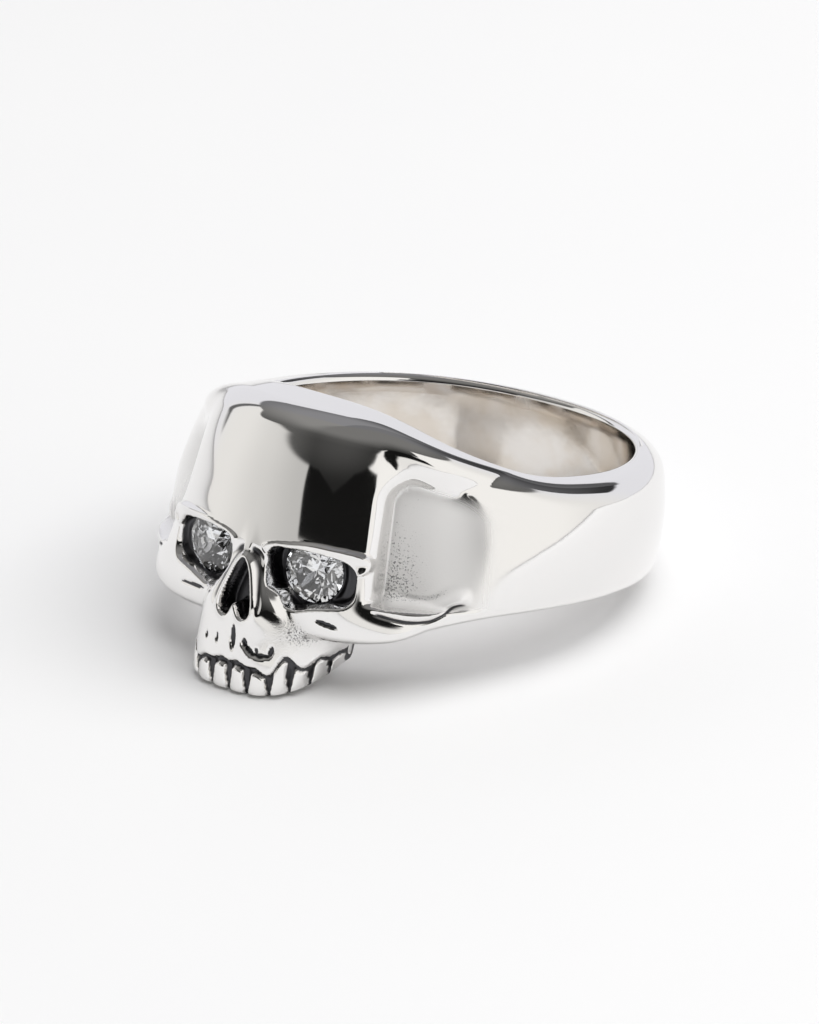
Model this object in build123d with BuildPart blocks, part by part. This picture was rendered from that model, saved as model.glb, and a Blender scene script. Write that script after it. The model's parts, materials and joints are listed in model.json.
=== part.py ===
import os
from math import atan2, cos, degrees, exp, pi, radians, sin, sqrt

from build123d import *

# Sizes in millimetres. The ring is modelled round its finger bore, whose axis is
# the ring frame's Z; the skull looks along -Y and its crown is toward +Z.

# Finger bore and band
bore_diameter = 20.0
back_wall = 1.55
flank_wall = 2.35
rim_height = 3.3
upper_rim_round = 1.0
lower_rim_round = 0.5
bore_edge_round = 0.35
band_crown = 11.5
band_lean = 0.28

# Skull: reaches are from the bore's axis, heights from the bore's middle
crown_height = 6.7
brow_reach = 14.6
brow_half_width = 6.7
head_centre = 8.5
head_blend = 0.35
cheek_flare = 0.5
cheek_angle = 44.0
cheek_spread = 15.0
cheek_drop = 3.9
cheek_height = 2.0

# Upper jaw with its row of teeth: its front stands out past the brow
jaw_overhang = 0.85
jaw_drop = 8.1
jaw_half_width = 3.75
jaw_back = 0.4
jaw_rise = 20.0
tooth_round = 0.25
gum_height = 1.45
gum_depth = 0.2
gum_groove = 0.25
tooth_gap = 0.3
tooth_gap_depth = 0.4
teeth_per_side = 6

# Stones
stone_diameter = 3.2
stone_table = 1.8
stone_crown = 0.5
stone_pavilion = 1.38
stone_girdle = 0.08
stone_culet = 0.1
stone_sides = 12
stone_spacing = 6.5
stone_drop = 1.3
stone_turn = 11.0
stone_depth = 0.85
seat_clearance = 0.05

# Eye sockets and lids
socket_width = 4.3
socket_height = 3.0
socket_depth = 0.2
socket_round = 0.5
lid_length = 5.2
lid_thickness = 0.6
lid_depth = 0.1
lid_angle = 14.5
lid_drop = 0.35
lid_roll = 3.0

# Nose opening
nose_top = 1.15
nose_height = 2.85
nose_width = 1.95
nose_depth = 1.3

# Temple hollows and cheekbone lips
temple_setback = 0.7
temple_wall = 2.5
temple_lean = 0.14
temple_end_angle = 47.0
temple_top = 3.4
temple_bottom = 2.7
lip_length = 4.0
lip_thickness = 0.9
lip_angle = 38.0
lip_rise = 0.25

bore_radius = bore_diameter / 2
stone_radius = stone_diameter / 2
back_reach = bore_radius + back_wall
jaw_reach = brow_reach + jaw_overhang
jaw_centre = bore_radius + jaw_back
stone_reach = brow_reach - stone_depth
lid_reach = brow_reach - lid_depth
temple_front = brow_half_width - temple_setback
temple_floor = bore_radius + temple_wall
lip_reach = temple_floor + lip_rise
clear_of_ring = 2 * jaw_reach

# Upper rim seen from the side, from the back to the face: how far back as a share
# of the bore radius, height as shares of the rim height and of the crown's rise.
UPPER_RIM = [
    # back, rim, rise
    (1.40, 0.92, 0.00),
    (0.95, 1.03, 0.00),
    (0.30, 1.02, 0.00),
    (-0.20, 1.05, 0.00),
    (-0.48, 1.12, 0.03),
    (-0.63, 1.14, 0.16),
    (-0.81, 1.08, 0.48),
    (-0.92, 1.03, 0.76),
    (-1.02, 1.00, 0.97),
    (-1.12, 1.00, 1.00),
    (-1.25, 1.00, 0.88),
    (-1.60, 1.00, 0.22),
]

# Lower rim: how far back as a share of the bore radius, depth as a share of the
# rim height.
LOWER_RIM = [
    # back, rim
    (1.40, 0.77),
    (0.60, 0.77),
    (0.00, 0.78),
    (-0.52, 0.82),
    (-0.73, 0.88),
    (-0.90, 0.96),
    (-1.05, 1.10),
    (-1.20, 1.30),
    (-1.60, 1.60),
]

# Sections across the head: height as a share of the crown height, half width and
# reach as shares of the brow's.
HEAD_SECTIONS = [
    # height, width, reach
    (1.15, 0.48, 0.760),
    (0.97, 0.66, 0.850),
    (0.80, 0.79, 0.912),
    (0.54, 0.91, 0.955),
    (0.23, 0.98, 0.982),
    (-0.09, 1.04, 1.000),
    (-0.38, 1.08, 0.990),
    (-0.66, 1.22, 0.965),
    (-0.96, 1.18, 0.925),
]

# Sections across the nose and jaw: height as a share of the jaw's drop, half width
# and reach as shares of the jaw's.
JAW_SECTIONS = [
    # height, width, reach
    (-0.08, 0.24, 0.950),
    (-0.25, 0.46, 0.982),
    (-0.42, 0.78, 0.998),
    (-0.62, 0.94, 0.998),
    (-0.84, 1.00, 1.000),
    (-1.10, 0.97, 0.985),
]

# Outline of a socket about its stone, away from the nose and up, as shares of the
# socket's width and height.
SOCKET = [
    # out, up
    (-0.56, 0.30),
    (0.40, 0.26),
    (0.44, -0.20),
    (0.20, -0.66),
    (-0.28, -0.66),
    (-0.54, -0.25),
]

# Right half of the nose opening, as shares of its width and height.
NOSE = [
    # out, down
    (0.00, 0.00),
    (0.22, 0.16),
    (0.42, 0.55),
    (0.50, 0.86),
    (0.34, 1.00),
    (0.12, 0.92),
    (0.00, 0.76),
]


def egg(angle, half_width, reach, centre, power):
    """Distance from the axis to a squared oval that lies forward of the axis."""
    depth = reach - centre
    near, far = 0.0, 2.0 * reach
    for _ in range(48):
        middle = (near + far) / 2
        x = abs(middle * sin(angle)) / half_width
        y = max(0.0, middle * cos(angle) - centre) / depth
        near, far = (near, middle) if x**power + y**power > 1 else (middle, far)
    return near


def band_radius(angle, z):
    """Outer radius of the domed band, which thickens from the back to the face."""
    flank_reach = bore_radius + flank_wall
    lead = flank_reach - back_reach
    circle = flank_reach + lead * cos(angle) - (lead * sin(angle)) ** 2 / (2 * flank_reach)
    return circle - z**2 / (2 * band_crown) - band_lean * z * max(0.0, cos(angle))


def outer_radius(angle, z, half_width, reach):
    """Band and head run into each other, and the cheekbones flare."""
    band = band_radius(angle, z)
    head = egg(angle, half_width, reach, head_centre, 2.6) if cos(angle) > 0 else 0.0
    joined = max(band, head) + head_blend / 2 * exp(-abs(band - head) / head_blend)
    turn = (abs(degrees(angle)) - cheek_angle) / cheek_spread
    rise = (z + cheek_drop) / cheek_height
    return joined + cheek_flare * exp(-(turn**2) - rise**2)


SECTION_TURNS = [0, 10, 19, 27, 36, 46, 60, 80, 105, 135, 160]


def ring_outline(z, half_width, reach):
    """Closed outline of the ring and its head at one height."""
    half = [radians(turn) for turn in SECTION_TURNS]
    points = []
    for turn in [-pi] + [-turn for turn in reversed(half[1:])] + half:
        r = outer_radius(turn, z, half_width, reach)
        points.append((r * sin(turn), -r * cos(turn)))
    return points


def arch_point(turn, half_width, reach):
    """Point of the dental arch where its own centre sees it at this angle."""
    power = 3.0
    depth = reach - jaw_centre
    r = (abs(sin(turn) / half_width) ** power + abs(cos(turn) / depth) ** power) ** (-1 / power)
    return (r * sin(turn), -jaw_centre - r * cos(turn))


def arch_outline(half_width, reach):
    """Half of the jaw's outline, from the back to the middle of the front."""
    turns = [90, 72, 55, 40, 25, 12, 0]
    return [arch_point(radians(turn), half_width, reach) for turn in turns]


def eye_plane(side):
    """Plane of a stone's girdle, facing out of its socket."""
    turn = radians(stone_turn)
    across = stone_spacing / 2
    forward = sqrt(stone_reach**2 - across**2)
    return Plane(
        origin=(side * across, -forward, -stone_drop),
        x_dir=(cos(turn), side * sin(turn), 0),
        z_dir=(side * sin(turn), -cos(turn), 0),
    )


def rim_point(back, rim, rise):
    """Point of the upper rim in the side view."""
    return (back * bore_radius, rim * rim_height + rise * (crown_height - rim_height))


# Biting edge of the teeth: it meets the jaw's front at its drop and rises backward.
teeth_plane = Plane(
    origin=(0, -jaw_reach, -jaw_drop),
    x_dir=(1, 0, 0),
    z_dir=(0, -sin(radians(jaw_rise)), cos(radians(jaw_rise))),
)


def on_circle(radius, turn):
    """Point at this angle from the face on a circle about the bore."""
    return (radius * sin(radians(turn)), -radius * cos(radians(turn)))


def temple_plan(z):
    """Corner, end and middle of a temple's floor at one height."""
    floor = temple_floor - temple_lean * (z + temple_bottom)
    corner = (temple_front, -sqrt(floor**2 - temple_front**2))
    corner_angle = degrees(atan2(temple_front, -corner[1]))
    end = on_circle(band_radius(radians(temple_end_angle), z), temple_end_angle)
    return corner, end, on_circle(floor, (corner_angle + temple_end_angle) / 2)


def tangent_plane(reach, turn, z, roll):
    """Plane that faces out from the bore's axis at this angle, its X level or rolled."""
    facing = Plane(
        origin=(*on_circle(reach, turn), z),
        x_dir=(cos(radians(turn)), sin(radians(turn)), 0),
        z_dir=(sin(radians(turn)), -cos(radians(turn)), 0),
    )
    return facing.rotated((0, 0, roll))


def on_teeth(x, y, height=0.0):
    """A point of the plan, laid on the plane that runs this high above the teeth."""
    rise = radians(jaw_rise)
    return (x, (y + jaw_reach + height * sin(rise)) / cos(rise))


def tooth_gaps():
    """Places of the grooves between teeth round the arch, turned to face it."""
    places = []
    for number in range(1 - teeth_per_side, teeth_per_side):
        turn = radians(90 * number / teeth_per_side)
        x, y = arch_point(turn, jaw_half_width, jaw_reach)
        places.append(Location(on_teeth(x, y), degrees(turn)))
    return places


# Nose ridge and upper jaw, one form that swells downward and ends at the teeth.
with BuildPart() as jaw:
    for height, width, reach in JAW_SECTIONS:
        half = arch_outline(width * jaw_half_width, reach * jaw_reach)
        with BuildSketch(Plane.XY.offset(height * jaw_drop)):
            with BuildLine():
                front = Spline(*half, *[(-x, y) for x, y in reversed(half[:-1])])
                Line(front @ 1, front @ 0)
            make_face()
    loft()
    with BuildSketch(teeth_plane):
        Rectangle(2 * clear_of_ring, 2 * clear_of_ring)
    extrude(amount=-clear_of_ring, mode=Mode.SUBTRACT)
    biting_face = jaw.faces().sort_by(Axis.Z)[0]
    fillet(biting_face.edges().filter_by(GeomType.BSPLINE), tooth_round)
    # Grooves between the teeth, then the line of the gum all round the arch
    with BuildSketch(teeth_plane):
        with Locations(*tooth_gaps()):
            Ellipse(tooth_gap / 2, tooth_gap_depth)
    extrude(amount=gum_height, dir=(0, 0, 1), both=True, mode=Mode.SUBTRACT)
    with BuildSketch(teeth_plane.offset(gum_height)):
        Rectangle(2 * clear_of_ring, 2 * clear_of_ring)
        arch = arch_outline(jaw_half_width - gum_depth, jaw_reach - gum_depth)
        gum = [on_teeth(x, y, gum_height) for x, y in arch]
        with BuildLine():
            Spline(*gum, *[(-x, y) for x, y in reversed(gum[:-1])])
            edge, back = gum[0][0], clear_of_ring
            Polyline((-edge, gum[0][1]), (-edge, back), (edge, back), gum[0])
        make_face(mode=Mode.SUBTRACT)
    extrude(amount=gum_groove, mode=Mode.SUBTRACT)
    Cylinder(bore_radius, 2 * clear_of_ring, mode=Mode.SUBTRACT)

# Long rounded beads for the eyelids and for the lips of the cheekbones.
with BuildPart() as lid_form:
    Sphere(1)
    scale(by=(lid_length / 2, lid_thickness / 2, lid_thickness / 2))

with BuildPart() as lip_form:
    Sphere(1)
    scale(by=(lip_length / 2, lip_thickness / 2, lip_thickness / 2))

# Hollow of the right temple, whose floor leans in toward the crown.
with BuildPart() as temple_form:
    for z in (-temple_bottom, temple_top):
        corner, end, middle = temple_plan(z)
        with BuildSketch(Plane.XY.offset(z)):
            with BuildLine():
                ThreePointArc(end, middle, corner)
                beyond = clear_of_ring
                Polyline(corner, (temple_front, -beyond), (beyond, -beyond), end)
            make_face()
    loft(ruled=True)

# The ring's blank: one smooth wall round band and head, trimmed to its side outline.
with BuildPart() as skull_ring:
    for height, width, reach in HEAD_SECTIONS:
        level = height * crown_height
        outline = ring_outline(level, width * brow_half_width, reach * brow_reach)
        with BuildSketch(Plane.XY.offset(level)):
            with BuildLine():
                Spline(*outline, periodic=True)
            make_face()
    loft()
    with BuildSketch(Plane.YZ.offset(-clear_of_ring)):
        with BuildLine():
            upper = Spline(*[rim_point(*row) for row in UPPER_RIM])
            lower = Spline(*[(back * bore_radius, -rim * rim_height) for back, rim in LOWER_RIM])
            Line(upper @ 0, lower @ 0)
            Line(upper @ 1, lower @ 1)
        make_face()
    extrude(amount=2 * clear_of_ring, mode=Mode.INTERSECT)
    fillet(skull_ring.faces().sort_by(Axis.Z)[-1].edges(), upper_rim_round)
    fillet(skull_ring.faces().sort_by(Axis.Z)[0].edges(), lower_rim_round)
    Cylinder(bore_radius, 2 * clear_of_ring, mode=Mode.SUBTRACT)
    bore_wall = skull_ring.faces().filter_by(GeomType.CYLINDER)[0]
    fillet(bore_wall.edges().filter_by(GeomType.BSPLINE), bore_edge_round)
    add(jaw.part)

    # Temple hollows, each open toward the flank, with a lip along its foot
    add(temple_form.part, mode=Mode.SUBTRACT)
    add(mirror(temple_form.part, about=Plane.YZ), mode=Mode.SUBTRACT)
    for side in (-1, 1):
        with Locations(tangent_plane(lip_reach, side * lip_angle, -temple_bottom, 0)):
            add(lip_form.part)

    # Nose opening
    with BuildSketch(Plane.XZ.offset(jaw_reach - nose_depth)):
        with BuildLine():
            Spline(*[(out * nose_width, -nose_top - down * nose_height) for out, down in NOSE])
            Line((0, -nose_top), (0, -nose_top - NOSE[-1][1] * nose_height))
        make_face()
        mirror(about=Plane.YZ)
    extrude(amount=clear_of_ring, mode=Mode.SUBTRACT)

    # Eyelids, then the sockets under them and a seat for each stone
    for side in (-1, 1):
        with Locations(tangent_plane(lid_reach, side * lid_angle, -lid_drop, -side * lid_roll)):
            add(lid_form.part)
        girdle = eye_plane(side)
        with BuildSketch(girdle.offset(-socket_depth)):
            with BuildLine():
                corners = [(side * out * socket_width, up * socket_height) for out, up in SOCKET]
                Polyline(*corners, close=True)
            make_face()
            fillet(vertices(), socket_round)
        extrude(amount=clear_of_ring, mode=Mode.SUBTRACT)
        with BuildSketch(girdle.offset(-socket_depth)):
            Circle(stone_radius + seat_clearance)
        seat_height = socket_depth + stone_girdle / 2 + stone_crown + seat_clearance
        extrude(amount=seat_height, mode=Mode.SUBTRACT)
        with BuildSketch(girdle.offset(-socket_depth)):
            Circle(stone_radius + seat_clearance)
        with BuildSketch(girdle.offset(-stone_girdle / 2 - stone_pavilion - seat_clearance)):
            Circle(stone_culet + seat_clearance)
        loft(ruled=True, mode=Mode.SUBTRACT)


def brilliant(girdle):
    """Cut stone about its girdle plane: table, crown and pavilion facets, culet."""
    low = -stone_girdle / 2
    levels = [
        (low - stone_pavilion, stone_culet),
        (low, stone_radius),
        (-low, stone_radius),
        (stone_crown - low, stone_table / 2),
    ]
    with BuildPart() as stone:
        for height, radius in levels:
            with BuildSketch(girdle.offset(height)):
                RegularPolygon(radius, stone_sides)
        loft(ruled=True)
    return stone


left_eye_stone = brilliant(eye_plane(-1))
right_eye_stone = brilliant(eye_plane(1))

# At rest the ring lies on its front teeth and on the back of its lower rim.
rest_tilt = degrees(atan2(jaw_drop - LOWER_RIM[0][1] * rim_height, jaw_reach + back_reach))
lean_back = Location((0, 0, 0), (-rest_tilt, 0, 0))
resting_box = skull_ring.part.moved(lean_back).bounding_box()
rest = Location((0, -resting_box.center().Y, -resting_box.min.Z)) * lean_back
for piece in (skull_ring, left_eye_stone, right_eye_stone):
    piece.part.move(rest)

skull_ring.part.label = "skull_ring"
left_eye_stone.part.label = "left_eye_stone"
right_eye_stone.part.label = "right_eye_stone"
os.makedirs("parts", exist_ok=True)
export_step(skull_ring.part, "parts/skull_ring.step")
export_step(left_eye_stone.part, "parts/left_eye_stone.step")
export_step(right_eye_stone.part, "parts/right_eye_stone.step")
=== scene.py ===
import json
import math

import bmesh
import bpy
import numpy as np
from mathutils import Matrix, Vector


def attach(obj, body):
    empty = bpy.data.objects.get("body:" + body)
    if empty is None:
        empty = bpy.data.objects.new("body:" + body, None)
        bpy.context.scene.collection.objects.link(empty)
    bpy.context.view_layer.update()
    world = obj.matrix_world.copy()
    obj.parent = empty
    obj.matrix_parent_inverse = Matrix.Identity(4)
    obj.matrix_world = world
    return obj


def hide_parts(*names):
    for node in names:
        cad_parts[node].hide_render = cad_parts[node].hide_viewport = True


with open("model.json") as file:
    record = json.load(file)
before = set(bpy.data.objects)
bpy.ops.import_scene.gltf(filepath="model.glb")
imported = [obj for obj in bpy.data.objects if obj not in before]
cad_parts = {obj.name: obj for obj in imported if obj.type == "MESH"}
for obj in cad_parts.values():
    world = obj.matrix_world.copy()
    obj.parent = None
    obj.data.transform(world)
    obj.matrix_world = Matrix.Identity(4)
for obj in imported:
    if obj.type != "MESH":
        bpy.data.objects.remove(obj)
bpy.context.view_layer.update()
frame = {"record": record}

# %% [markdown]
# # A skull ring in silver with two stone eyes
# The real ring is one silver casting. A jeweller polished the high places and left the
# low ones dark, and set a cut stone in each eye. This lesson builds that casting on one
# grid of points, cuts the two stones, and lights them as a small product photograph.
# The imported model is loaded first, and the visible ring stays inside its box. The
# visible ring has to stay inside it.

MM = 0.001

# %% [markdown]
# The ring lies on its teeth and on the back of its band, so its finger hole leans. All
# the shapes are easier to say in the ring's own frame, with the hole along Z and the
# face toward -Y. The finger hole's place and lean are in the record, so the way from
# the ring's frame to the table comes from there.

# %% From the ring's own frame to the table
BORE = frame["record"]["mounts"][0]
bore_axis = Vector(BORE["axis"]).normalized()
lean = math.atan2(bore_axis.y, bore_axis.z)
to_table = Matrix.Translation(BORE["pos_m"]) @ Matrix.Rotation(-lean, 4, "X") @ Matrix.Scale(MM, 4)
print("the finger hole leans back by", round(math.degrees(lean), 2), "degrees")

# %% [markdown]
# The camera comes first, because every later choice is judged through it. It stands far
# off with a long lens, a little above the ring and round toward +X, as the photograph's
# camera was fitted to stand. A long lens keeps the ring's two sides nearly parallel.

# %% Camera
CAMERA_AZIMUTH = 38.88
CAMERA_ELEVATION = 24.24
CAMERA_ROLL = -1.82
CAMERA_DISTANCE = 400.0
CAMERA_TARGET = Vector((-1.178, 2.271, 3.389))
LENS = 277.03

lens = bpy.data.cameras.new("camera")
lens.lens = LENS
lens.sensor_width = 36.0
lens.clip_start = 0.01
camera = bpy.data.objects.new("camera", lens)
bpy.context.scene.collection.objects.link(camera)
turn = Matrix.Rotation(math.radians(CAMERA_AZIMUTH), 4, "Z")
tip = Matrix.Rotation(math.radians(90 - CAMERA_ELEVATION), 4, "X")
roll = Matrix.Rotation(math.radians(CAMERA_ROLL), 4, "Z")
aim = turn @ tip @ roll
away_from_ring = Matrix.Translation((0, 0, CAMERA_DISTANCE * MM))
camera.matrix_world = Matrix.Translation(CAMERA_TARGET * MM) @ aim @ away_from_ring
bpy.context.scene.camera = camera
print("camera at", [round(c / MM) for c in camera.matrix_world.translation], "mm")

# %% [markdown]
# ## The casting
# A lathe would make a plain band: a closed profile spun about the finger hole. The
# skull is the same grid with each point moved out or in along its own ray from the
# hole's axis. So the casting is one spun grid, and a few functions say how far each
# point lies from the axis. Most sizes below are those of the solid model. The shoulders
# beside the crown and the cheeks are fuller here than in the solid, by up to 1 mm, to
# follow the photograph more closely. All stay inside the solid's box.

# %% Sizes of the ring, in millimetres
BORE_RADIUS = BORE["dims"]["r_mm"]
BACK_WALL, FLANK_WALL = 1.54, 2.35
TOP_ROUND, FOOT_ROUND, BORE_EDGE = 1.0, 0.5, 0.35
RIM_EDGE, RIM_FALL, FLANK_FALL = BORE_RADIUS + BORE_EDGE, 0.10, 0.20
CROWN_RADIUS, CROWN_EASE = 12.4, 1.0
BAND_CROWN, BAND_LEAN = 11.5, 0.28
BROW_REACH, HEAD_CENTRE, HEAD_BLEND = 14.6, 8.5, 0.35
HEAD_WIDER, HEAD_POWER = 1.07, 2.3
CHEEK_SWELL, CHEEK_TURN, CHEEK_SPREAD, CHEEK_DROP, CHEEK_TALL = 0.6, 36, 13, 2.9, 1.8
JAW_REACH, JAW_DROP, JAW_CENTRE, JAW_POWER = 15.45, 8.0, 10.4, 3.0
JAW_HALF_TURN, JAW_BLEND, JAW_LEVEL = 19.9, 0.28, -6.8
BITE_RISE = math.tan(math.radians(20))

UPPER_RIM = [  # how far back, height
    (-16.0, 4.05), (-12.5, 6.29), (-11.2, 6.70), (-10.2, 6.60), (-9.2, 5.98), (-8.1, 5.20),
    (-6.3, 4.31), (-4.8, 3.80), (-2.0, 3.47), (3.0, 3.37), (9.5, 3.40), (14.0, 3.04),
]
LOWER_RIM = [  # how far back, height
    (-16.0, -5.28), (-12.0, -4.29), (-10.5, -3.63), (-9.0, -3.17), (-7.3, -2.90),
    (-5.2, -2.71), (0.0, -2.57), (6.0, -2.54), (14.0, -2.54),
]
HEAD = [  # height, half width, reach
    (-6.43, 7.91, 13.51), (-4.42, 8.17, 14.09), (-2.55, 7.24, 14.45), (-0.60, 6.97, 14.60),
    (1.54, 6.57, 14.34), (3.62, 6.10, 13.94), (5.36, 5.50, 13.36), (6.50, 5.00, 12.95),
    (7.71, 4.60, 12.50),
]
JAW = [  # height, half width, reach
    (-8.91, 3.64, 15.22), (-6.80, 3.75, 15.45), (-5.02, 3.53, 15.42), (-3.40, 2.93, 15.42),
    (-2.03, 1.73, 15.17), (-0.65, 0.90, 14.68), (0.60, 0.50, 13.60),
]


# %% Smooth curves and steps
def curve(table, column=1):
    """A function that runs smoothly through one column of a table of heights."""
    xs = np.array([row[0] for row in table], float)
    ys = np.array([row[column] for row in table], float)
    gaps = np.diff(xs)
    rows, bends = np.eye(len(xs)), np.zeros(len(xs))
    for i in range(1, len(xs) - 1):
        rows[i, i - 1:i + 2] = gaps[i - 1], 2 * (gaps[i - 1] + gaps[i]), gaps[i]
        bends[i] = 6 * ((ys[i + 1] - ys[i]) / gaps[i] - (ys[i] - ys[i - 1]) / gaps[i - 1])
    bends = np.linalg.solve(rows, bends)

    def at(x):
        x = np.clip(x, xs[0], xs[-1])
        i = np.clip(np.searchsorted(xs, x) - 1, 0, len(xs) - 2)
        h, left, right = gaps[i], x - xs[i], xs[i + 1] - x
        cubic = (bends[i] * right**3 + bends[i + 1] * left**3) / (6 * h)
        from_left = (ys[i] / h - bends[i] * h / 6) * right
        from_right = (ys[i + 1] / h - bends[i + 1] * h / 6) * left
        return cubic + from_left + from_right

    return at


def step(x, start, end):
    """0 before start, 1 past end, smooth between."""
    t = np.clip((x - start) / (end - start), 0.0, 1.0)
    return t * t * (3 - 2 * t)


def bell(x, width):
    """1 at 0, falling smoothly to either side over about this width."""
    return np.exp(-((x / width) ** 2))


def joined(a, b, blend):
    """The larger of two values, with a soft change from one to the other."""
    return np.maximum(a, b) + blend / 2 * np.exp(-np.abs(a - b) / blend)


upper_rim, lower_rim = curve(UPPER_RIM), curve(LOWER_RIM)
head_width, head_reach = curve(HEAD, 1), curve(HEAD, 2)
jaw_width, jaw_reach = curve(JAW, 1), curve(JAW, 2)


def rim_height(angle, reach):
    """Height of the upper rim, which over the skull and the flanks falls outward."""
    forward = np.cos(angle)
    level = upper_rim(-RIM_EDGE * forward) - RIM_FALL * (reach - RIM_EDGE) * forward
    level = np.where(forward > 0, level, upper_rim(-reach * forward))
    return level - FLANK_FALL * (reach - RIM_EDGE) * bell(forward - 0.15, 0.45)


crown_and_back = [round(float(upper_rim(back)), 2) for back in (-11.0, 11.0)]
print("rim height at the crown and at the back:", crown_and_back)


# %% [markdown]
# The wall is a domed band that grows into a squared oval for the head, with the nose
# and upper jaw as a second, narrower oval. Each is a distance from the axis that
# depends on the angle and the height, and the larger one wins with a soft blend, as
# wax does where a carver joins two forms.

# %% How far the outer wall is from the axis
def oval(angle, half_width, reach, centre, power):
    """Where a ray at this angle leaves a squared oval that lies forward of the axis."""
    near = np.zeros(np.broadcast(angle, half_width).shape)
    far = near + 2 * BROW_REACH
    for _ in range(40):
        middle = (near + far) / 2
        across = np.abs(middle * np.sin(angle)) / half_width
        forward = np.maximum(0.0, middle * np.cos(angle) - centre) / (reach - centre)
        outside = across**power + forward**power > 1
        near, far = np.where(outside, near, middle), np.where(outside, middle, far)
    return np.where(np.cos(angle) > 0.05, near, 0.0)


def band_radius(angle, z):
    flank = BORE_RADIUS + FLANK_WALL
    lead = FLANK_WALL - BACK_WALL
    circle = flank + lead * np.cos(angle) - (lead * np.sin(angle)) ** 2 / (2 * flank)
    return circle - z**2 / (2 * BAND_CROWN) - BAND_LEAN * z * np.maximum(0.0, np.cos(angle))


def skull_radius(angle, z):
    """Band, head and flared cheekbones, before anything is carved."""
    head = oval(angle, HEAD_WIDER * head_width(z), head_reach(z), HEAD_CENTRE, HEAD_POWER)
    degrees = np.degrees(angle)
    band = band_radius(angle, z)
    beside = step(z, 1.5, 4.2) * (1 - step(np.abs(degrees), 40, 88))
    full = CROWN_RADIUS - CROWN_EASE * step(np.abs(degrees), 28, 60)
    shoulder = band + np.maximum(0.0, full - band) * beside
    beside_nose = bell(np.abs(degrees) - CHEEK_TURN, CHEEK_SPREAD)
    cheek = CHEEK_SWELL * beside_nose * bell(z + CHEEK_DROP, CHEEK_TALL)
    return joined(shoulder, head, HEAD_BLEND) + cheek


def jaw_radius(angle, z):
    """Nose ridge and upper jaw."""
    ridge = oval(angle, jaw_width(z), jaw_reach(z), JAW_CENTRE, JAW_POWER)
    ridge = ridge - 2 * np.maximum(0.0, z - JAW[-1][0])
    return np.where(np.abs(np.degrees(angle)) < JAW_HALF_TURN, ridge, 0.0)


print("brow", round(float(skull_radius(np.array(0.0), np.array(-0.6))), 2), "mm from the axis")

# %% [markdown]
# ### The grid
# Spin gives even columns, but the face needs far more of them than the plain band. So
# the columns are moved along the circle before the shape is worked out, and the rows
# crowd where the eyes and the teeth are. The profile is spun once as a plain tube whose
# rows are marked, and every point keeps its row number for what follows.

# %% A spun grid with marked rows
COLUMNS = 540
ROWS = {"bore": 9, "bore top": 4, "rim": 5, "top round": 12, "wall": 92, "foot round": 9, "under": 50}
row_count = sum(ROWS.values())

tube = bmesh.new()
row_mark = tube.verts.layers.int.new("row")
for row in range(row_count):
    around = 2 * math.pi * row / row_count
    point = tube.verts.new((0, -BORE_RADIUS - 3 - 2 * math.cos(around), 2 * math.sin(around)))
    point[row_mark] = row
tube.verts.ensure_lookup_table()
profile = list(tube.verts)
profile_edges = [tube.edges.new((profile[i], profile[(i + 1) % row_count])) for i in range(row_count)]
bmesh.ops.spin(tube, geom=profile + profile_edges, cent=(0, 0, 0), axis=(0, 0, 1), dvec=(0, 0, 0),
               angle=2 * math.pi, steps=COLUMNS, use_merge=True, use_duplicate=False)
tube.verts.ensure_lookup_table()
rows = np.array([v[row_mark] for v in tube.verts])
spun = np.array([v.co for v in tube.verts])
even = np.degrees(np.arctan2(spun[:, 0], -spun[:, 1]))
print("grid:", len(rows), "points,", len(tube.faces), "faces")

# %% Crowd the columns at the face
SPREAD = [(0.0, 0.0), (0.52, 25.0), (0.65, 36.0), (0.77, 52.0), (0.82, 63.0), (1.0, 180.0)]
column = np.round((even + 180) * COLUMNS / 360).astype(int) % COLUMNS
evenly = -1 + 2 * np.arange(COLUMNS) / COLUMNS
turned = np.sign(evenly) * np.interp(np.abs(evenly), [s for s, _ in SPREAD], [a for _, a in SPREAD])
phi = np.radians(turned)
print("columns:", len(phi), "and widest step", round(float(np.degrees(np.diff(phi).max())), 2), "degrees")

# %% [markdown]
# ### What is carved into the casting
# The eye sockets, the nose opening, the temple hollows, the gum and the pits are all
# cut inward from the smooth wall, and the lids and lips stand out of it. Each one is a
# mask over the grid, 0 on the plain wall and 1 on its floor. A mask with a wide edge
# gives a soft slope and a narrow one a crisp wall. The same masks later tell the
# material where the dark oxide stayed, and where a grey shade is painted along the
# sloping edges of the temple hollows.

# %% Distance to a smooth outline
OUTLINE_STEPS = 150
FAR_OUTSIDE = 9.0
OUTLINE_HALF_WIDTH, OUTLINE_HALF_HEIGHT = 3.6, 2.7


def outside(points, u, v, here):
    """How far each place here lies outside a smooth closed outline, negative inside it."""
    loop = np.array(points * 3 + points[:1], float)
    run = np.concatenate([[0], np.cumsum(np.hypot(*np.diff(loop, axis=0).T))])
    lap = run[len(points)]
    at = lap * (1 + np.arange(OUTLINE_STEPS) / OUTLINE_STEPS)
    xs, ys = (curve(list(zip(run, loop[:, k])))(at) for k in (0, 1))
    far = np.full(u.shape, FAR_OUTSIDE)
    near = here & (np.abs(u) < OUTLINE_HALF_WIDTH) & (np.abs(v) < OUTLINE_HALF_HEIGHT)
    u, v = u[near], v[near]
    gap, within = np.full(u.shape, FAR_OUTSIDE), np.zeros(u.shape, bool)
    for x0, y0, x1, y1 in zip(xs, ys, np.roll(xs, -1), np.roll(ys, -1)):
        along = ((u - x0) * (x1 - x0) + (v - y0) * (y1 - y0)) / ((x1 - x0) ** 2 + (y1 - y0) ** 2)
        along = np.clip(along, 0.0, 1.0)
        gap = np.minimum(gap, np.hypot(u - x0 - along * (x1 - x0), v - y0 - along * (y1 - y0)))
        if y0 != y1:
            within ^= ((y0 > v) != (y1 > v)) & (u < x0 + (v - y0) * (x1 - x0) / (y1 - y0))
    far[near] = np.where(within, -gap, gap)
    return far


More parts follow.
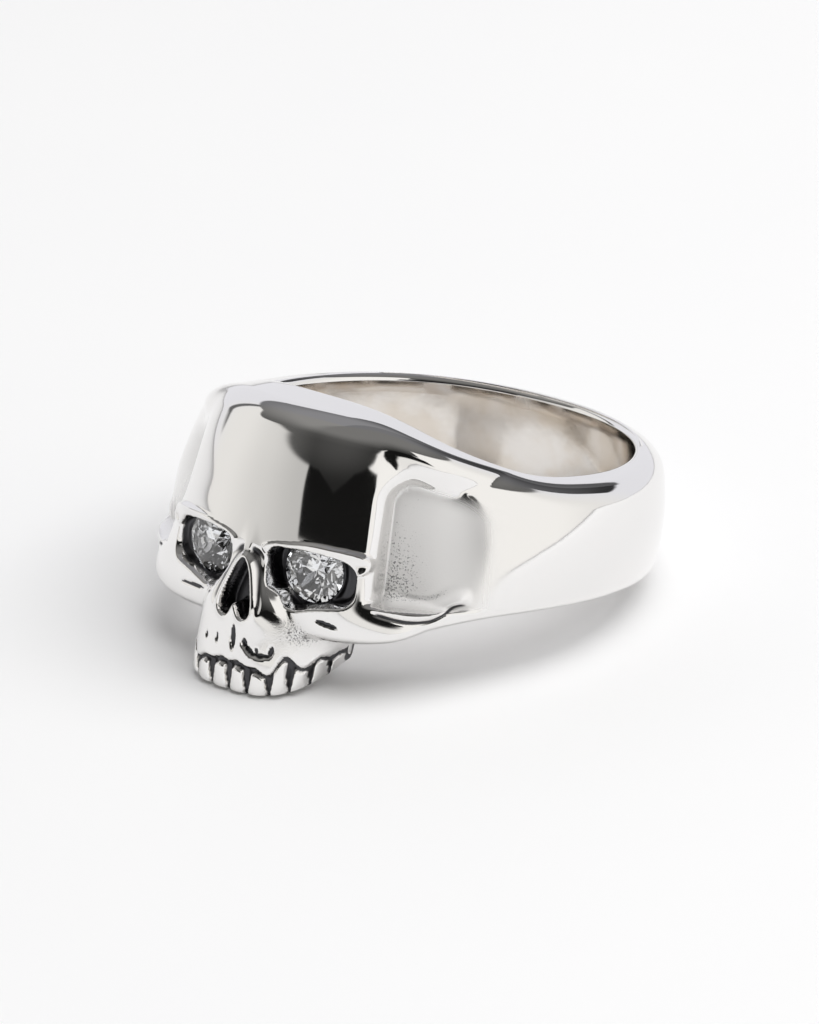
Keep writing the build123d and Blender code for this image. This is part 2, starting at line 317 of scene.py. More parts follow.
SOCKET = [  # away from the nose, up, from the middle of the stone
    (-2.34, 0.50), (-2.12, 0.88), (-1.40, 1.06), (-0.35, 1.11), (0.60, 1.05), (1.50, 0.93),
    (2.05, 0.70), (2.36, 0.30), (2.42, -0.30), (2.42, -0.90), (2.10, -1.38), (1.50, -1.58),
    (0.80, -1.72), (0.00, -1.92), (-0.70, -2.08), (-1.20, -1.85), (-1.60, -1.35), (-2.05, -1.05),
    (-2.30, -0.40),
]
LID = [  # the same way: the brow's lower edge, which overhangs the socket
    (-2.65, 0.90), (-2.35, 1.12), (-1.15, 1.37), (-0.24, 1.52), (0.67, 1.54), (1.60, 1.48),
    (2.44, 1.36), (2.84, 1.18), (3.00, 0.88), (2.95, 0.60), (2.70, 0.35), (2.30, 0.25),
    (1.50, 0.55), (0.00, 0.75), (-1.50, 0.70), (-2.40, 0.60),
]
NOSE = [  # out, up from the middle of the opening
    (0.00, 1.55), (0.32, 1.28), (0.62, 0.60), (0.88, -0.25), (0.98, -0.85), (0.86, -1.28),
    (0.55, -1.42), (0.25, -1.16), (0.00, -0.72),
]
NOSE = NOSE + [(-out, up) for out, up in NOSE[-2:0:-1]]
NOSE_MIDDLE = -2.7
STONE_RADIUS, SEAT_GAP = 1.6, 0.05
EYE_REACH, EYE_APART, EYE_DROP, EYE_TURN = 13.75, 6.5, 1.3, 11.0


def eye_frame(side):
    """Middle of a stone's girdle, its outward normal and its level direction."""
    across = EYE_APART / 2
    turn = math.radians(EYE_TURN)
    middle = np.array((side * across, -math.sqrt(EYE_REACH**2 - across**2), -EYE_DROP))
    normal = np.array((side * math.sin(turn), -math.cos(turn), 0.0))
    away = np.array((side * math.cos(turn), math.sin(turn), 0.0))
    return middle, normal, away


# %% Carve the eye sockets under their lids
def carve_eye(side, x, y, z, angle, radius, patina):
    """Raise the lid, sink the socket under it and cut the stone's seat in its floor."""
    middle, normal, away = eye_frame(side)
    u = (x - middle[0]) * away[0] + (y - middle[1]) * away[1]
    v = z - middle[2]
    here = (np.cos(angle) > 0.5) & (side * angle > -0.2)
    socket, lid = outside(SOCKET, u, v, here), outside(LID, u, v, here)
    facing = normal[0] * np.sin(angle) - normal[1] * np.cos(angle)
    level = (normal @ middle) / np.where(np.abs(facing) > 0.2, facing, 1.0)
    roll_under = np.maximum(-lid, 0.0) / (np.maximum(-lid, 0.0) + np.maximum(socket, 0.02))
    swell = 0.16 + 0.16 * step(u, -1.5, 2.0)
    carved = radius + swell * step(-lid, -0.05, 0.12) * (1 - 0.95 * roll_under)
    below = step(-v, 0.2, 1.6)
    mask = step(-socket, -0.03, 0.13 + 0.30 * below)
    from_stone = np.hypot(u, v) - STONE_RADIUS
    recess = 0.55 - 0.25 * step(u, 0.5, 2.2) - 0.30 * below * (1 - step(u, 1.2, 1.9))
    collar = bell(from_stone - 0.10, 0.13)
    seat = step(SEAT_GAP - from_stone, 0.0, STONE_RADIUS) * 1.3
    floor = level - recess * (1 - collar) - 0.05 * collar - seat
    carved = carved - mask * np.maximum(0.0, carved - floor)
    ramp = step(-u, 0.7, 1.4) * step(-v, 0.7, 1.2)
    oxide = step(mask, 0.25, 0.75) * (1 - 0.75 * ramp) * (1 - 0.30 * below * step(u, -1.2, -0.4))
    oxide = oxide * step(from_stone, -0.25, -0.05)
    return carved, np.maximum(patina, oxide)


# %% Carve the nose opening and raise its rim
NOSE_DEPTH, NOSE_RIM, NOSE_GROOVE, NOSE_CLEFT = 1.15, 0.08, 0.09, 0.22


def carve_nose(x, z, angle, radius, patina):
    """Sink the opening, raise a rim round it and notch the bone above it."""
    nose = outside(NOSE, x, z - NOSE_MIDDLE, np.cos(angle) > 0.8)
    mask = step(-nose, -0.02, 0.14)
    carved = radius - NOSE_DEPTH * mask
    rim = bell(nose - 0.12, 0.12)
    groove = bell(nose - 0.38, 0.13) * step(z, -3.9, -3.2) * (1 - step(z, -1.0, -0.4))
    cleft = bell(nose - 0.52, 0.20) * bell(z + 0.75, 0.45) * step(np.abs(x), 0.15, 0.35)
    carved = carved + NOSE_RIM * rim - NOSE_GROOVE * groove - NOSE_CLEFT * cleft
    oxide = np.maximum(step(mask, 0.3, 0.8), np.maximum(0.55 * groove, 0.75 * cleft))
    return carved, np.maximum(patina, oxide)


# %% Hollow the temples and curl their lips
TEMPLE_FRONT, TEMPLE_END = 27.6, 52.0
TEMPLE_FLOOR, TEMPLE_LEAN = 12.5, 0.14
TEMPLE_TOP, TEMPLE_FOOT, TEMPLE_CORNER = 3.60, -2.35, 1.3
LEFT_SHIFT, LEFT_LIP, LEFT_SATIN = 4.5, 0.25, 0.3


def carve_temple(side, z, angle, radius, patina, grain, satin):
    """Hollow one temple toward the flank, curl a lip along the hollow's foot and paint a grey shade along
    the hollow's sloping edge.
    """
    out = side * np.degrees(angle) - (LEFT_SHIFT * step(0.8 - z, 0.0, 2.0) if side < 0 else 0.0)
    band = skull_radius(angle, z)
    fade = step(out, TEMPLE_FRONT + 2, TEMPLE_END)
    floor = TEMPLE_FLOOR - TEMPLE_LEAN * (z - TEMPLE_FOOT)
    floor = floor + (np.maximum(band, floor) - floor) * fade
    left = (out - TEMPLE_FRONT) * math.radians(1) * TEMPLE_FLOOR
    top = TEMPLE_TOP - 0.045 * (out - TEMPLE_FRONT) - z
    bend = TEMPLE_CORNER
    inside = np.minimum(np.minimum(left, top), bend) - bend
    corner = bend - np.hypot(np.minimum(left - bend, 0.0), np.minimum(top - bend, 0.0))
    depth = np.where((left < bend) & (top < bend), corner, inside + bend)
    here = (out > 15) & (out < 75)
    slope = np.clip((depth + 0.75) / 0.80, 0.0, 1.0)
    mask = (1 - np.sqrt(1 - slope**2)) * step(z, TEMPLE_FOOT - 0.22, TEMPLE_FOOT + 0.1) * here
    carved = radius - mask * np.maximum(0.0, radius - floor)
    bow = TEMPLE_FOOT + 0.10 - 0.42 * bell(out - 35.0, 7.0) + 0.50 * step(out, 38, 45)
    along = step(out, TEMPLE_FRONT - 1.2, TEMPLE_FRONT + 1.5) * (1 - step(out, 44.5, 47.5))
    lip = bell(z - bow, 0.30) * along * here
    line = bell(z - bow + 0.40, 0.09) * along * here
    raised = 1.0 if side > 0 else LEFT_LIP
    carved = carved + raised * (0.30 + 0.18 * bell(out - 43, 4)) * lip - 0.12 * line
    low = step(-z, -2.6, 1.9)
    close = 1 - step(out, 33.0, 43.0)
    stipple = mask * step(depth, -0.02, 0.15) * (1 - fade) * (0.55 + 0.45 * low) * (0.5 + 0.5 * close)
    foot = mask * bell(z - bow - 0.55, 0.30) * (1 - step(out, 40, 46)) * here
    grain = np.maximum(grain, np.maximum(stipple, 0.9 * foot))
    patina = np.maximum(patina, 0.85 * line + 0.35 * foot)
    # Painted shade: a grey band along the hollow's sloping edge, where the surface turns in. It is not
    # oxide.
    patina = np.maximum(patina, 0.34 * bell(depth + 0.22, 0.17) * (1 - fade) * mask)
    satin = np.maximum(satin, mask * step(depth, -0.5, 0.9) * (1 - step(out, 38.0, 58.0)))
    return carved, patina, grain, satin if side > 0 else LEFT_SATIN * satin


# %% Teeth, gum and the pits of the upper jaw
TOOTH_CUT, TOOTH_SHOULDER = 0.24, 0.16
TOOTH_TURNS = [0.0, 12.5, 26.0, 37.0, 49.5, 65.0, 84.0]
TEETH = [  # teeth from the middle, gum above the bite, crown above the bite
    (0.0, 1.65, 1.20), (0.5, 1.76, 1.44), (1.0, 1.58, 1.20), (1.5, 1.52, 1.26), (2.0, 1.24, 1.00),
    (2.5, 1.96, 1.75), (3.0, 1.85, 1.45), (3.5, 1.26, 1.05), (4.0, 1.13, 0.90), (4.5, 1.22, 1.08),
    (5.0, 0.96, 0.70), (5.5, 0.87, 0.64), (6.0, 0.70, 0.45),
]
gum_line, crown_line = curve(TEETH, 1), curve(TEETH, 2)


def carve_teeth(x, y, z, angle, radius, patina):
    """Cut the gaps and necks of the teeth under an uneven gum line."""
    above = z + JAW_DROP - (y + JAW_REACH) * BITE_RISE
    turned = np.degrees(np.arctan2(np.abs(x), np.maximum(-y - JAW_CENTRE, 0.02)))
    tooth = np.interp(turned, TOOTH_TURNS, np.arange(len(TOOTH_TURNS)))
    under_gum = gum_line(tooth) - above
    here = (np.abs(np.degrees(angle)) < 20.5) * step(2.6 - above, 0.0, 0.2)
    apart = np.abs(tooth - np.round(tooth))
    half = 0.09 + 0.12 * step(above, 0.0, 1.2)
    gap = (1 - step(apart, half - 0.05, half + 0.06)) * step(under_gum, -0.05, 0.08)
    neck = step(above, crown_line(tooth) - 0.10, crown_line(tooth) + 0.06) * step(under_gum, -0.03, 0.07)
    dark = np.maximum(gap, neck) * here
    crown = 1 - (2 * (tooth - np.floor(tooth)) - 1) ** 2
    shoulders = (1 - crown) * step(under_gum, 0.0, 0.25) * here
    carved = radius - TOOTH_CUT * dark - TOOTH_SHOULDER * shoulders
    return carved, np.maximum(patina, 0.7 * step(dark, 0.35, 0.75))


PITS = [  # sideways, height, half width, half height, lean, depth
    (-1.60, -5.39, 0.07, 0.20, 4, 0.14), (-0.86, -5.35, 0.08, 0.22, 4, 0.14),
    (0.13, -5.08, 0.15, 0.60, 3, 0.16), (0.84, -5.26, 0.17, 0.22, 20, 0.24),
    (1.15, -5.58, 0.36, 0.15, -35, 0.24), (1.75, -5.74, 0.42, 0.13, 4, 0.22),
    (2.22, -5.47, 0.11, 0.27, -8, 0.20), (1.55, -5.50, 0.10, 0.14, 20, 0.12),
    (4.50, -3.67, 0.56, 0.11, -9, 0.10), (-3.90, -3.66, 0.90, 0.10, 4, 0.10),
]


def carve_pits(x, z, angle, radius, patina):
    """Press each small pit of the table into the cheeks and the jaw."""
    for across, height, half_width, half_height, lean, depth in PITS:
        u, v = x - across, z - height
        c, s = math.cos(math.radians(lean)), math.sin(math.radians(lean))
        far = np.hypot((u * c + v * s) / half_width, (v * c - u * s) / half_height)
        pit = step(1.25 - far, 0.0, 0.50) * (np.cos(angle) > 0.6)
        radius = radius - depth * pit
        patina = np.maximum(patina, 0.9 * step(pit, 0.2, 0.8))
    return radius, patina


def jaw_grain(x, z, angle):
    """Where the casting skin was left rough on the right cheek and jaw."""
    patch = bell(x - 3.3, 1.1) * bell(z + 4.75, 0.75)
    seam = bell(x - 2.9, 0.5) * bell(z + 4.2, 0.7)
    return np.clip(0.85 * patch + 0.6 * seam, 0, 1) * (np.cos(angle) > 0.6)


# %% Rows of the profile at every column
def quarter(count):
    """Angles that run through a quarter turn in this many steps."""
    return np.radians(90) * np.arange(count) / count


def outer_wall(angle, z, trim):
    """Outer wall less its rounding, with the nose and jaw joined on."""
    return joined(skull_radius(angle, z) - trim, jaw_radius(angle, z), JAW_BLEND)


a = phi[:, None]
forward = np.cos(a)
inner_top = upper_rim(-RIM_EDGE * forward)
inner_foot = lower_rim(-RIM_EDGE * forward)
top = upper_rim(-BROW_REACH * forward)
foot = lower_rim(-BROW_REACH * forward)
LEFT_CHEEK_DROP, SETTLING_ROUNDS = 0.35, 16
low_left = LEFT_CHEEK_DROP * bell(np.degrees(a) + 28, 14)
for _ in range(SETTLING_ROUNDS):
    top_reach, foot_reach = skull_radius(a, top), skull_radius(a, foot)
    top = (top + rim_height(a, top_reach - TOP_ROUND)) / 2
    foot = (foot + lower_rim(-(foot_reach - FOOT_ROUND) * forward) - low_left) / 2

t = np.arange(ROWS["bore"]) / ROWS["bore"]
low, high = inner_foot + BORE_EDGE, inner_top - BORE_EDGE
bore_z = low + (high - low) * t
bore_r = np.full_like(bore_z, BORE_RADIUS)

q = quarter(ROWS["bore top"])
edge_z = high + BORE_EDGE * np.sin(q)
edge_r = BORE_RADIUS + BORE_EDGE * (1 - np.cos(q)) + 0 * a

t = np.arange(ROWS["rim"]) / ROWS["rim"]
rim_r = RIM_EDGE + (top_reach - TOP_ROUND - RIM_EDGE) * t
rim_z = rim_height(a, rim_r)

q = quarter(ROWS["top round"])
round_z = top - TOP_ROUND * (1 - np.cos(q))
round_r = outer_wall(a, round_z, TOP_ROUND * (1 - np.sin(q)))

t = np.arange(ROWS["wall"]) / ROWS["wall"]
FINE_BELOW, FINER = 0.9, 3.2
start, end = top - TOP_ROUND, foot + FOOT_ROUND
plain = np.maximum(0.0, start - FINE_BELOW)
fine = (np.minimum(start, FINE_BELOW) - end) * FINER
along = t * (plain + fine)
wall_z = np.where(along < plain, start - along, np.minimum(start, FINE_BELOW) - (along - plain) / FINER)
wall_r = outer_wall(a, wall_z, 0.0)

q = quarter(ROWS["foot round"])
turn_z = foot + FOOT_ROUND * (1 - np.sin(q))
turn_r = outer_wall(a, turn_z, FOOT_ROUND * (1 - np.cos(q)))

# %% [markdown]
# Below the cheeks the profile turns inward and then runs down the front of the teeth,
# back under them and up again to the finger hole. Where there is no jaw, the same rows
# simply cross the foot of the band. The rows share out by weight, so that the teeth get
# most of them.

# %% Rows under the cheeks and round the jaw
TOOTH_ROUND = 0.25


def under_rows(angle, start_r, foot_z, inner_z):
    """Radius, height and a mark for the outer face, for the rows from the foot to the bore."""
    degrees = abs(math.degrees(angle))
    jaw = float(1 - step(degrees, 19.1, 19.8))
    front = math.cos(angle)
    inner_r = RIM_EDGE
    knots = [(start_r, foot_z, 1.0, 1)]
    if jaw > 0:
        here = np.array(angle)
        ledge = float(jaw_radius(here, np.array(foot_z)))
        ledge = inner_r + (min(ledge, start_r) - inner_r) * jaw
        knots.append((ledge, foot_z, 1.2, 1))
        reach = float(jaw_radius(here, np.array(JAW_LEVEL)))
        bite = -JAW_DROP + (JAW_REACH - (reach - TOOTH_ROUND) * front) * BITE_RISE
        bite = foot_z + (bite - foot_z) * jaw
        for share in np.linspace(0.1, 1.0, 10):
            z = foot_z + (bite + TOOTH_ROUND * jaw - foot_z) * share
            r = float(jaw_radius(here, np.array(z)))
            knots.append((ledge + (r - ledge) * share if jaw < 1 else r, z, 3.0, 1))
        r_low = knots[-1][0]
        for q in np.radians((30, 60, 90)):
            knots.append((r_low - TOOTH_ROUND * jaw * (1 - math.cos(q)),
                          bite + TOOTH_ROUND * jaw * (1 - math.sin(q)), 3.0, 1))
        back_r = inner_r + (max(JAW_CENTRE / front, inner_r) - inner_r) * jaw
        back_bite = -JAW_DROP + (JAW_REACH - back_r * front) * BITE_RISE
        back_bite = foot_z + (back_bite - foot_z) * jaw
        knots.append((back_r, back_bite, 0.4, 0))
        knots.append((back_r, inner_z, 0.5, 0))
    for q in np.radians((0, 30, 60, 90)):
        knots.append((inner_r - BORE_EDGE * math.sin(q), inner_z + BORE_EDGE * (1 - math.cos(q)), 1.0, 0))
    r = np.array([k[0] for k in knots])
    z = np.array([k[1] for k in knots])
    weight = np.array([k[2] for k in knots])[1:]
    path = np.concatenate([[0], np.cumsum(np.hypot(np.diff(r), np.diff(z)) * weight + 1e-6)])
    at = path[-1] * np.arange(ROWS["under"]) / ROWS["under"]
    outer = np.interp(at, path, [float(k[3]) for k in knots])
    return np.interp(at, path, r), np.interp(at, path, z), outer


corner_r = outer_wall(a, foot, FOOT_ROUND)
under = [under_rows(phi[i], corner_r[i, 0], foot[i, 0], inner_foot[i, 0]) for i in range(len(phi))]
under_r, under_z, under_outer = (np.array([u[k] for u in under]) for k in range(3))
print("lowest point of the teeth", round(float(under_z.min()), 2), "mm under the middle of the hole")

# %% Put the rows together and carve
radius = np.hstack([bore_r, edge_r, rim_r, round_r, wall_r, turn_r, under_r])
height = np.hstack([bore_z, edge_z, rim_z, round_z, wall_z, turn_z, under_z])
inside = ROWS["bore"] + ROWS["bore top"] + ROWS["rim"]
outer = np.ones_like(radius)
outer[:, :inside] = 0
outer[:, -ROWS["under"]:] = under_outer
angle = np.broadcast_to(a, radius.shape)
plain_radius = radius.copy()
patina, grain, satin, warm = (np.zeros_like(radius) for _ in range(4))
warm[:, :ROWS["bore"]] = 1.0
x, y, z = radius * np.sin(angle), -radius * np.cos(angle), height

for side in (-1, 1):
    radius, patina, grain, satin = carve_temple(side, z, angle, radius, patina, grain, satin)
radius, patina = carve_nose(x, z, angle, radius, patina)
radius, patina = carve_teeth(x, y, z, angle, radius, patina)
radius, patina = carve_pits(x, z, angle, radius, patina)
for side in (-1, 1):
    radius, patina = carve_eye(side, x, y, z, angle, radius, patina)
grain = np.maximum(grain, jaw_grain(x, z, angle))
radius = plain_radius + (radius - plain_radius) * step(outer, 0.3, 0.9)
patina, grain = patina * step(outer, 0.3, 0.9), grain * step(outer, 0.3, 0.9)
print("deepest carving", round(float((plain_radius - radius).max()), 2), "mm")

# %% Move the grid's points and make the casting
ring_points = np.stack([radius * np.sin(angle), -radius * np.cos(angle), height], -1)[column, rows]
for vert, place in zip(tube.verts, ring_points):
    vert.co = place
tube.transform(to_table)
if tube.calc_volume(signed=True) < 0:
    bmesh.ops.reverse_faces(tube, faces=tube.faces)
for face in tube.faces:
    face.smooth = True
casting_mesh = bpy.data.meshes.new("silver_casting")
tube.to_mesh(casting_mesh)
for name, values in (("patina", patina), ("grain", grain), ("satin", satin), ("warm", warm)):
    layer = casting_mesh.attributes.new(name, "FLOAT", "POINT")
    layer.data.foreach_set("value", values[column, rows].astype(np.float32))
casting = bpy.data.objects.new("silver_casting", casting_mesh)
bpy.context.scene.collection.objects.link(casting)
volume = tube.calc_volume()
tube.free()
print("casting:", len(casting_mesh.polygons), "faces, volume", round(volume / MM**3), "cubic mm")

# %% [markdown]
# ## The stones
# Each eye is a round brilliant. A brilliant is a convex shape, so its corners alone
# settle every facet: the hull of the table, star, girdle, pavilion and culet corners has
# the table, the kites, the stars and the girdle facets of a real cut.

# %% Cut a brilliant and set it in each eye
TABLE_RADIUS, STAR_RADIUS, PAVILION_RADIUS = 0.9, 1.27, 0.50
CROWN, PAVILION, GIRDLE = 0.5, 1.38, 0.04
EIGHTH = math.radians(45)
FLAT_ENOUGH = math.radians(0.6)
STONE_SPIN = {-1: 14, 1: 9}


def cut_brilliant(side):
    """Mesh of one stone, in its place on the table."""
    fall = CROWN / (STONE_RADIUS - TABLE_RADIUS)
    rise = PAVILION / STONE_RADIUS
    half = math.cos(EIGHTH / 2)
    levels = [
        (8, 0.0, TABLE_RADIUS, GIRDLE + CROWN),
        (8, 0.5, STAR_RADIUS, GIRDLE + CROWN - fall * (STAR_RADIUS * half - TABLE_RADIUS)),
        (16, 0.0, STONE_RADIUS, GIRDLE),
        (16, 0.0, STONE_RADIUS, -GIRDLE),
        (8, 0.5, PAVILION_RADIUS, -GIRDLE - PAVILION + rise * PAVILION_RADIUS * half),
    ]
    stone = bmesh.new()
    for count, offset, reach, level in levels:
        for k in range(count):
            turn = EIGHTH * (k * 8 / count + offset)
            stone.verts.new((reach * math.cos(turn), reach * math.sin(turn), level))
    stone.verts.new((0, 0, -GIRDLE - PAVILION))
    bmesh.ops.convex_hull(stone, input=stone.verts)
    bmesh.ops.dissolve_limit(stone, angle_limit=FLAT_ENOUGH, verts=stone.verts, edges=stone.edges)
    bmesh.ops.recalc_face_normals(stone, faces=stone.faces)
    middle, normal, away = eye_frame(side)
    level = Vector(away) * side
    up = Vector(normal).cross(level)
    seat = Matrix((level, up, Vector(normal))).transposed().to_4x4()
    spin = Matrix.Rotation(math.radians(STONE_SPIN[side]), 4, "Z")
    stone.transform(to_table @ Matrix.Translation(Vector(middle)) @ seat @ spin)
    mesh = bpy.data.meshes.new("cut_stone")
    stone.to_mesh(mesh)
    print("stone facets:", len(stone.faces))
    stone.free()
    return mesh


stones = {}
for side, node in ((-1, "left_eye_stone"), (1, "right_eye_stone")):
    stones[node] = bpy.data.objects.new(node + "_cut", cut_brilliant(side))
    bpy.context.scene.collection.objects.link(stones[node])

# %% [markdown]
# ## Finishes
# A small class turns node sockets into values that Python can add and multiply, so that
# a finish reads like a formula.

# %% Shader values as Python expressions
class Value:
    def __init__(self, tree, socket):
        self.tree, self.socket = tree, socket

    def node(self, kind, settings=None, **inputs):
        """Any node: its settings first, then the values or links of its sockets."""
        made = self.tree.nodes.new(kind)
        for name, value in (settings or {}).items():
            setattr(made, name, value)
        for name, value in inputs.items():
            key = int(name[1:]) if name[0] == "_" and name[1:].isdigit() else name.replace("_", " ")
            if isinstance(value, Value):
                self.tree.links.new(value.socket, made.inputs[key])
            else:
                made.inputs[key].default_value = value
        return made

    def out(self, made, name=0):
        return Value(self.tree, made.outputs[name])

    def math(self, operation, *values):
        sockets = {"_" + str(i): v for i, v in enumerate(values)}
        return self.out(self.node("ShaderNodeMath", {"operation": operation}, **sockets))

    def __add__(self, other):
        return self.math("ADD", self, other)

    def __sub__(self, other):
        return self.math("SUBTRACT", self, other)

    def __rsub__(self, other):
        return self.math("SUBTRACT", other, self)

    def __mul__(self, other):
        return self.math("MULTIPLY", self, other)

    __radd__, __rmul__ = __add__, __mul__

    def rise(self, start, end):
        """0 below start, 1 above end, smooth between."""
        made = self.node("ShaderNodeMapRange", {"interpolation_type": "SMOOTHSTEP"},
                         Value=self, From_Min=start, From_Max=end)
        return self.out(made)

    def between(self, first, second):
        """A colour that goes from first to second with this value."""
        made = self.node("ShaderNodeMix", {"data_type": "RGBA"}, _0=self, _6=first, _7=second)
        return self.out(made, 2)


def finish(name, **constants):
    """A new material: its start value, its shader and the constants set on it."""
    material = bpy.data.materials.new(name)
    material.use_nodes = True
    tree = material.node_tree
    shader = tree.nodes["Principled BSDF"]
    for socket, value in constants.items():
        shader.inputs[socket.replace("_", " ")].default_value = value
    return material, Value(tree, None), shader


def feed(value, shader, socket):
    value.tree.links.new(value.socket, shader.inputs[socket])


# %% [markdown]
# Oxide stays in the low places and grain where the casting skin was left. The same dark
# colour is also painted as a grey shade along the sloping edges of the temple hollows. The
# temple hollows look frosted in the photograph, so they are made mostly non-metallic there:
# that gives their even white, which a true metal under this light didn't.

# %% Silver, bright on the high places, oxidised in the low ones, with painted shade on the temple hollows' edges
BRIGHT_SILVER, WORN_SILVER, OXIDE_AND_SHADE = (0.87, 0.86, 0.85, 1), (0.75, 0.69, 0.62, 1), (0.075, 0.075, 0.08, 1)
GRAIN_SCALE, CLOUD_SCALE, WEAR_SCALE = 11000.0, 900.0, 260.0
BUMP_HEIGHT, BUMP_STRENGTH = 0.00006, 0.6

silver, maker, shader = finish("polished_silver")
place = maker.out(maker.node("ShaderNodeTexCoord"), "Object")
low, rough_cast, matt, worn = (
    maker.out(maker.node("ShaderNodeAttribute", {"attribute_name": name}), "Fac")
    for name in ("patina", "grain", "satin", "warm"))
sand, cloud, wear = (
    maker.out(maker.node("ShaderNodeTexNoise", Vector=place, Scale=scale, Detail=detail, Roughness=rough))
    for scale, detail, rough in ((GRAIN_SCALE, 3.0, 0.6), (CLOUD_SCALE, 3.0, 0.5), (WEAR_SCALE, 4.0, 0.6)))
dots = (sand + (rough_cast - 1.0) * 0.38).rise(0.49, 0.62)
# This dark mark holds the real oxide and also the painted grey shade along the temple hollows' edges.
oxide = (low * 1.25 + (cloud - 0.5) * 0.7 * low).rise(0.25, 0.80)
dark = maker.math("MAXIMUM", oxide, dots * 0.7 + rough_cast * 0.14)
used = worn * (0.45 + 0.55 * wear.rise(0.40, 0.62))
bright = used.between(BRIGHT_SILVER, WORN_SILVER)
colour = dark.between(bright, OXIDE_AND_SHADE)
feed(colour, shader, "Base Color")
feed(1.0 - 0.9 * matt, shader, "Metallic")
feed(0.06 + 0.30 * dark + 0.15 * rough_cast + 0.55 * matt + 0.12 * worn * wear, shader, "Roughness")
relief = (sand * rough_cast) * 0.5 + cloud * low * 0.4 + wear * worn * 0.5
bump = maker.node("ShaderNodeBump", Height=relief, Distance=BUMP_HEIGHT, Strength=BUMP_STRENGTH)
feed(maker.out(bump, "Normal"), shader, "Normal")
casting_mesh.materials.append(silver)

# %% Clear stone
clear, maker, shader = finish("cut_stone", Roughness=0.0, IOR=2.1, Transmission_Weight=1.0)
place = maker.out(maker.node("ShaderNodeTexCoord"), "Object")
haze = maker.out(maker.node("ShaderNodeTexNoise", Vector=place, Scale=500.0, Detail=1.0))
feed(haze.rise(0.3, 0.7).between((0.93, 0.95, 0.99, 1), (0.97, 0.98, 1.0, 1)), shader, "Base Color")
for stone in stones.values():
    stone.data.materials.append(clear)

# %% [markdown]
# ## The table, the light and what the silver mirrors
# Polished silver shows little of itself and much of its surroundings. The black shape on
# the forehead is such a reflection, most likely of the dark opening in a white tent. So
# the world here is a white dome with a dark opening in front, a dim ceiling that dips
# behind, and a thin dark stripe at the left. Where each tone lies was worked out by
# following the photograph's reflections back through the model from the one camera. Seen
# from elsewhere, the ring mirrors the same dome another way.

# %% Table top
table = bmesh.new()
bmesh.ops.create_grid(table, x_segments=1, y_segments=1, size=3.0)
table_mesh = bpy.data.meshes.new("table_top")
table.to_mesh(table_mesh)
table.free()
table_top = bpy.data.objects.new("table_top", table_mesh)
bpy.context.scene.collection.objects.link(table_top)
paper, maker, shader = finish("white_paper", Roughness=0.9, Specular_IOR_Level=0.1)
place = maker.out(maker.node("ShaderNodeTexCoord"), "Object")
fibre = maker.out(maker.node("ShaderNodeTexNoise", Vector=place, Scale=40.0, Detail=2.0))
feed(fibre.between((0.90, 0.90, 0.905, 1), (0.92, 0.92, 0.92, 1)), shader, "Base Color")
table_mesh.materials.append(paper)

# %% White dome, its dark opening and its dim ceiling
world = bpy.data.worlds.new("tent")
bpy.context.scene.world = world
world.use_nodes = True
sky = world.node_tree.nodes["Background"]
maker = Value(world.node_tree, None)
way = maker.out(maker.node("ShaderNodeTexCoord"), "Generated")
split = maker.node("ShaderNodeSeparateXYZ", Vector=way)
wx, wy, wz = (maker.out(split, k) for k in range(3))
azimuth = maker.math("ARCTAN2", wx, wy * -1.0) * (180 / math.pi)
elevation = maker.math("ARCSINE", wz) * (180 / math.pi)
behind = maker.math("ABSOLUTE", azimuth)


def window(value, start, end, soft):
    """1 between start and end, with soft edges."""
    return value.rise(start - soft, start + soft) * (1.0 - value.rise(end - soft, end + soft))


OPENING_LEFT, OPENING_RIGHT, OPENING_FOOT, OPENING_TOP, NOTCH = -10.0, 64.0, 10.5, 20.0, 17.0
EDGE, LEFT_SLOPE, RIGHT_SLOPE = 0.8, 0.47, 0.37
LEANS_ABOVE, LEAN_RATE = 22.0, 1.6
edge_of_top = OPENING_TOP + maker.math("MAXIMUM", (NOTCH - azimuth) * LEFT_SLOPE,
                                       (azimuth - NOTCH) * RIGHT_SLOPE)
leaning = azimuth + maker.math("MAXIMUM", elevation - LEANS_ABOVE, 0.0) * LEAN_RATE
past_left = azimuth.rise(OPENING_LEFT - EDGE, OPENING_LEFT + EDGE)
past_right = leaning.rise(OPENING_RIGHT - EDGE, OPENING_RIGHT + EDGE)
ahead = past_left * (1.0 - past_right)
over = (elevation - edge_of_top).rise(-EDGE, EDGE)

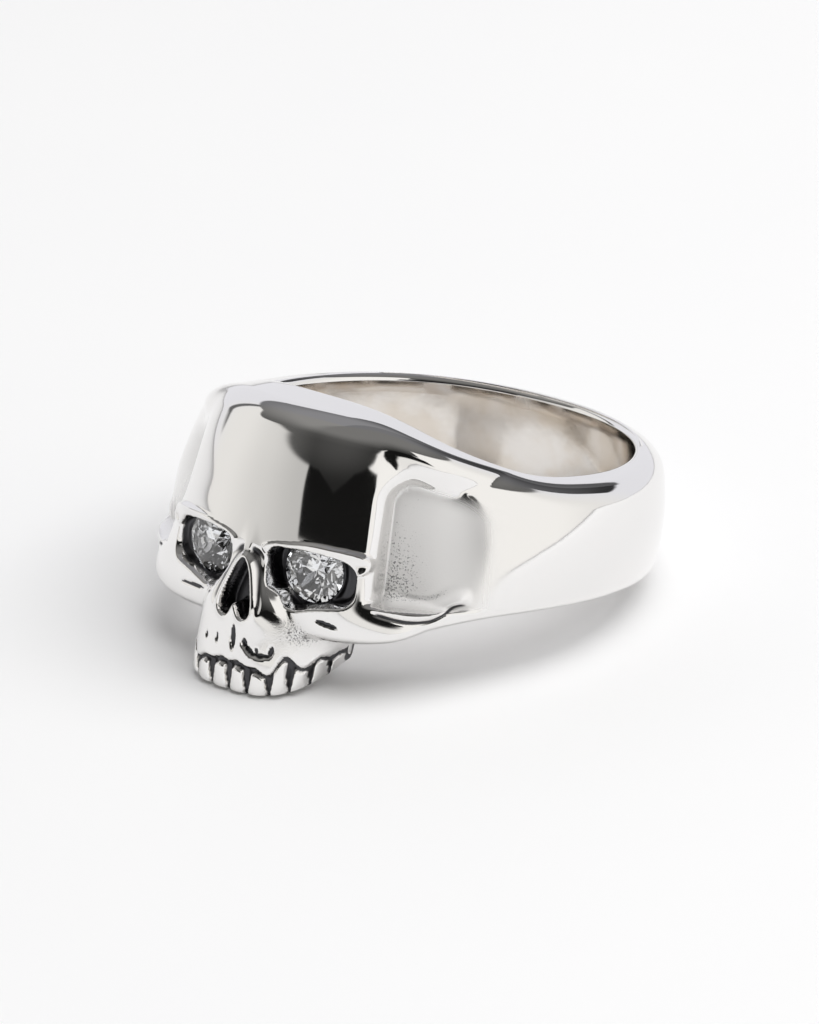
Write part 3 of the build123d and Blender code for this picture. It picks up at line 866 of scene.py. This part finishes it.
CEILING_FOOT, RIGHT_RISE, LEFT_RISE, BACK_DIP = 28.0, 16.0, 14.0, 18.0
CEILING_DARK, CEILING_GLOW, CEILING_LEFT = 0.02, 0.18, 0.08
WALL_LIGHT, WALL_RIGHT, WALL_DIP, OPENING_LIGHT, STRIPE_DARK = 0.88, 0.12, 0.32, 0.008, 0.85
ceiling_foot = (CEILING_FOOT + RIGHT_RISE * azimuth.rise(60.0, 66.0)
                + LEFT_RISE * (1.0 - azimuth.rise(-75.0, -50.0)) - BACK_DIP * behind.rise(152.0, 158.0))
ceiling = maker.math("MAXIMUM", (elevation - ceiling_foot).rise(-1.0, 1.0), ahead * over)
ceiling_light = (CEILING_DARK + CEILING_GLOW * elevation.rise(22.0, 62.0)
                 + CEILING_LEFT * (1.0 - azimuth.rise(-36.0, -6.0)))

wall = (WALL_LIGHT + WALL_RIGHT * window(azimuth, 55.0, 115.0, 14.0)
        - WALL_DIP * azimuth.rise(-62.0, -12.0) * (1.0 - azimuth.rise(-11.0, -9.0)))
lilac = maker.math("MAXIMUM", 1.0 - azimuth.rise(-105.0, -70.0), azimuth.rise(120.0, 165.0))
tint = lilac.between((1.0, 0.985, 0.955, 1), (0.955, 0.955, 1.0, 1))
unlit = ahead * elevation.rise(OPENING_FOOT - 2, OPENING_FOOT + 2)
stripe = window(azimuth, -90.0, -83.0, 1.5) * elevation.rise(4.0, 8.0) * STRIPE_DARK
below = wall * (1.0 - unlit) * (1.0 - stripe) + OPENING_LIGHT
strength = (1.0 - ceiling) * below + ceiling * ceiling_light
feed(tint, sky, "Color")
feed(strength, sky, "Strength")

# %% Lights
def soft_box(name, azimuth, elevation, distance, size, power):
    """A round lamp aimed at the ring that lights it but isn't mirrored in it."""
    light = bpy.data.lights.new(name, "AREA")
    light.shape, light.size, light.energy = "DISK", size, power
    lamp = bpy.data.objects.new(name, light)
    bpy.context.scene.collection.objects.link(lamp)
    turned, raised = math.radians(azimuth), math.radians(elevation)
    lamp.location = Vector((math.sin(turned) * math.cos(raised), -math.cos(turned) * math.cos(raised),
                            math.sin(raised))) * distance
    lamp.rotation_euler = (-lamp.location).to_track_quat("-Z", "Y").to_euler()
    lamp.visible_glossy = False


soft_box("overhead", azimuth=120, elevation=68, distance=0.6, size=0.7, power=3.5)
bpy.context.scene.view_settings.view_transform = "Standard"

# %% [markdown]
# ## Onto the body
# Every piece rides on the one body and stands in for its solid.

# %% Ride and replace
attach(casting, "root")
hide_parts("skull_ring")
for node, stone in stones.items():
    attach(stone, "root")
    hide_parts(node)
bpy.context.view_layer.update()
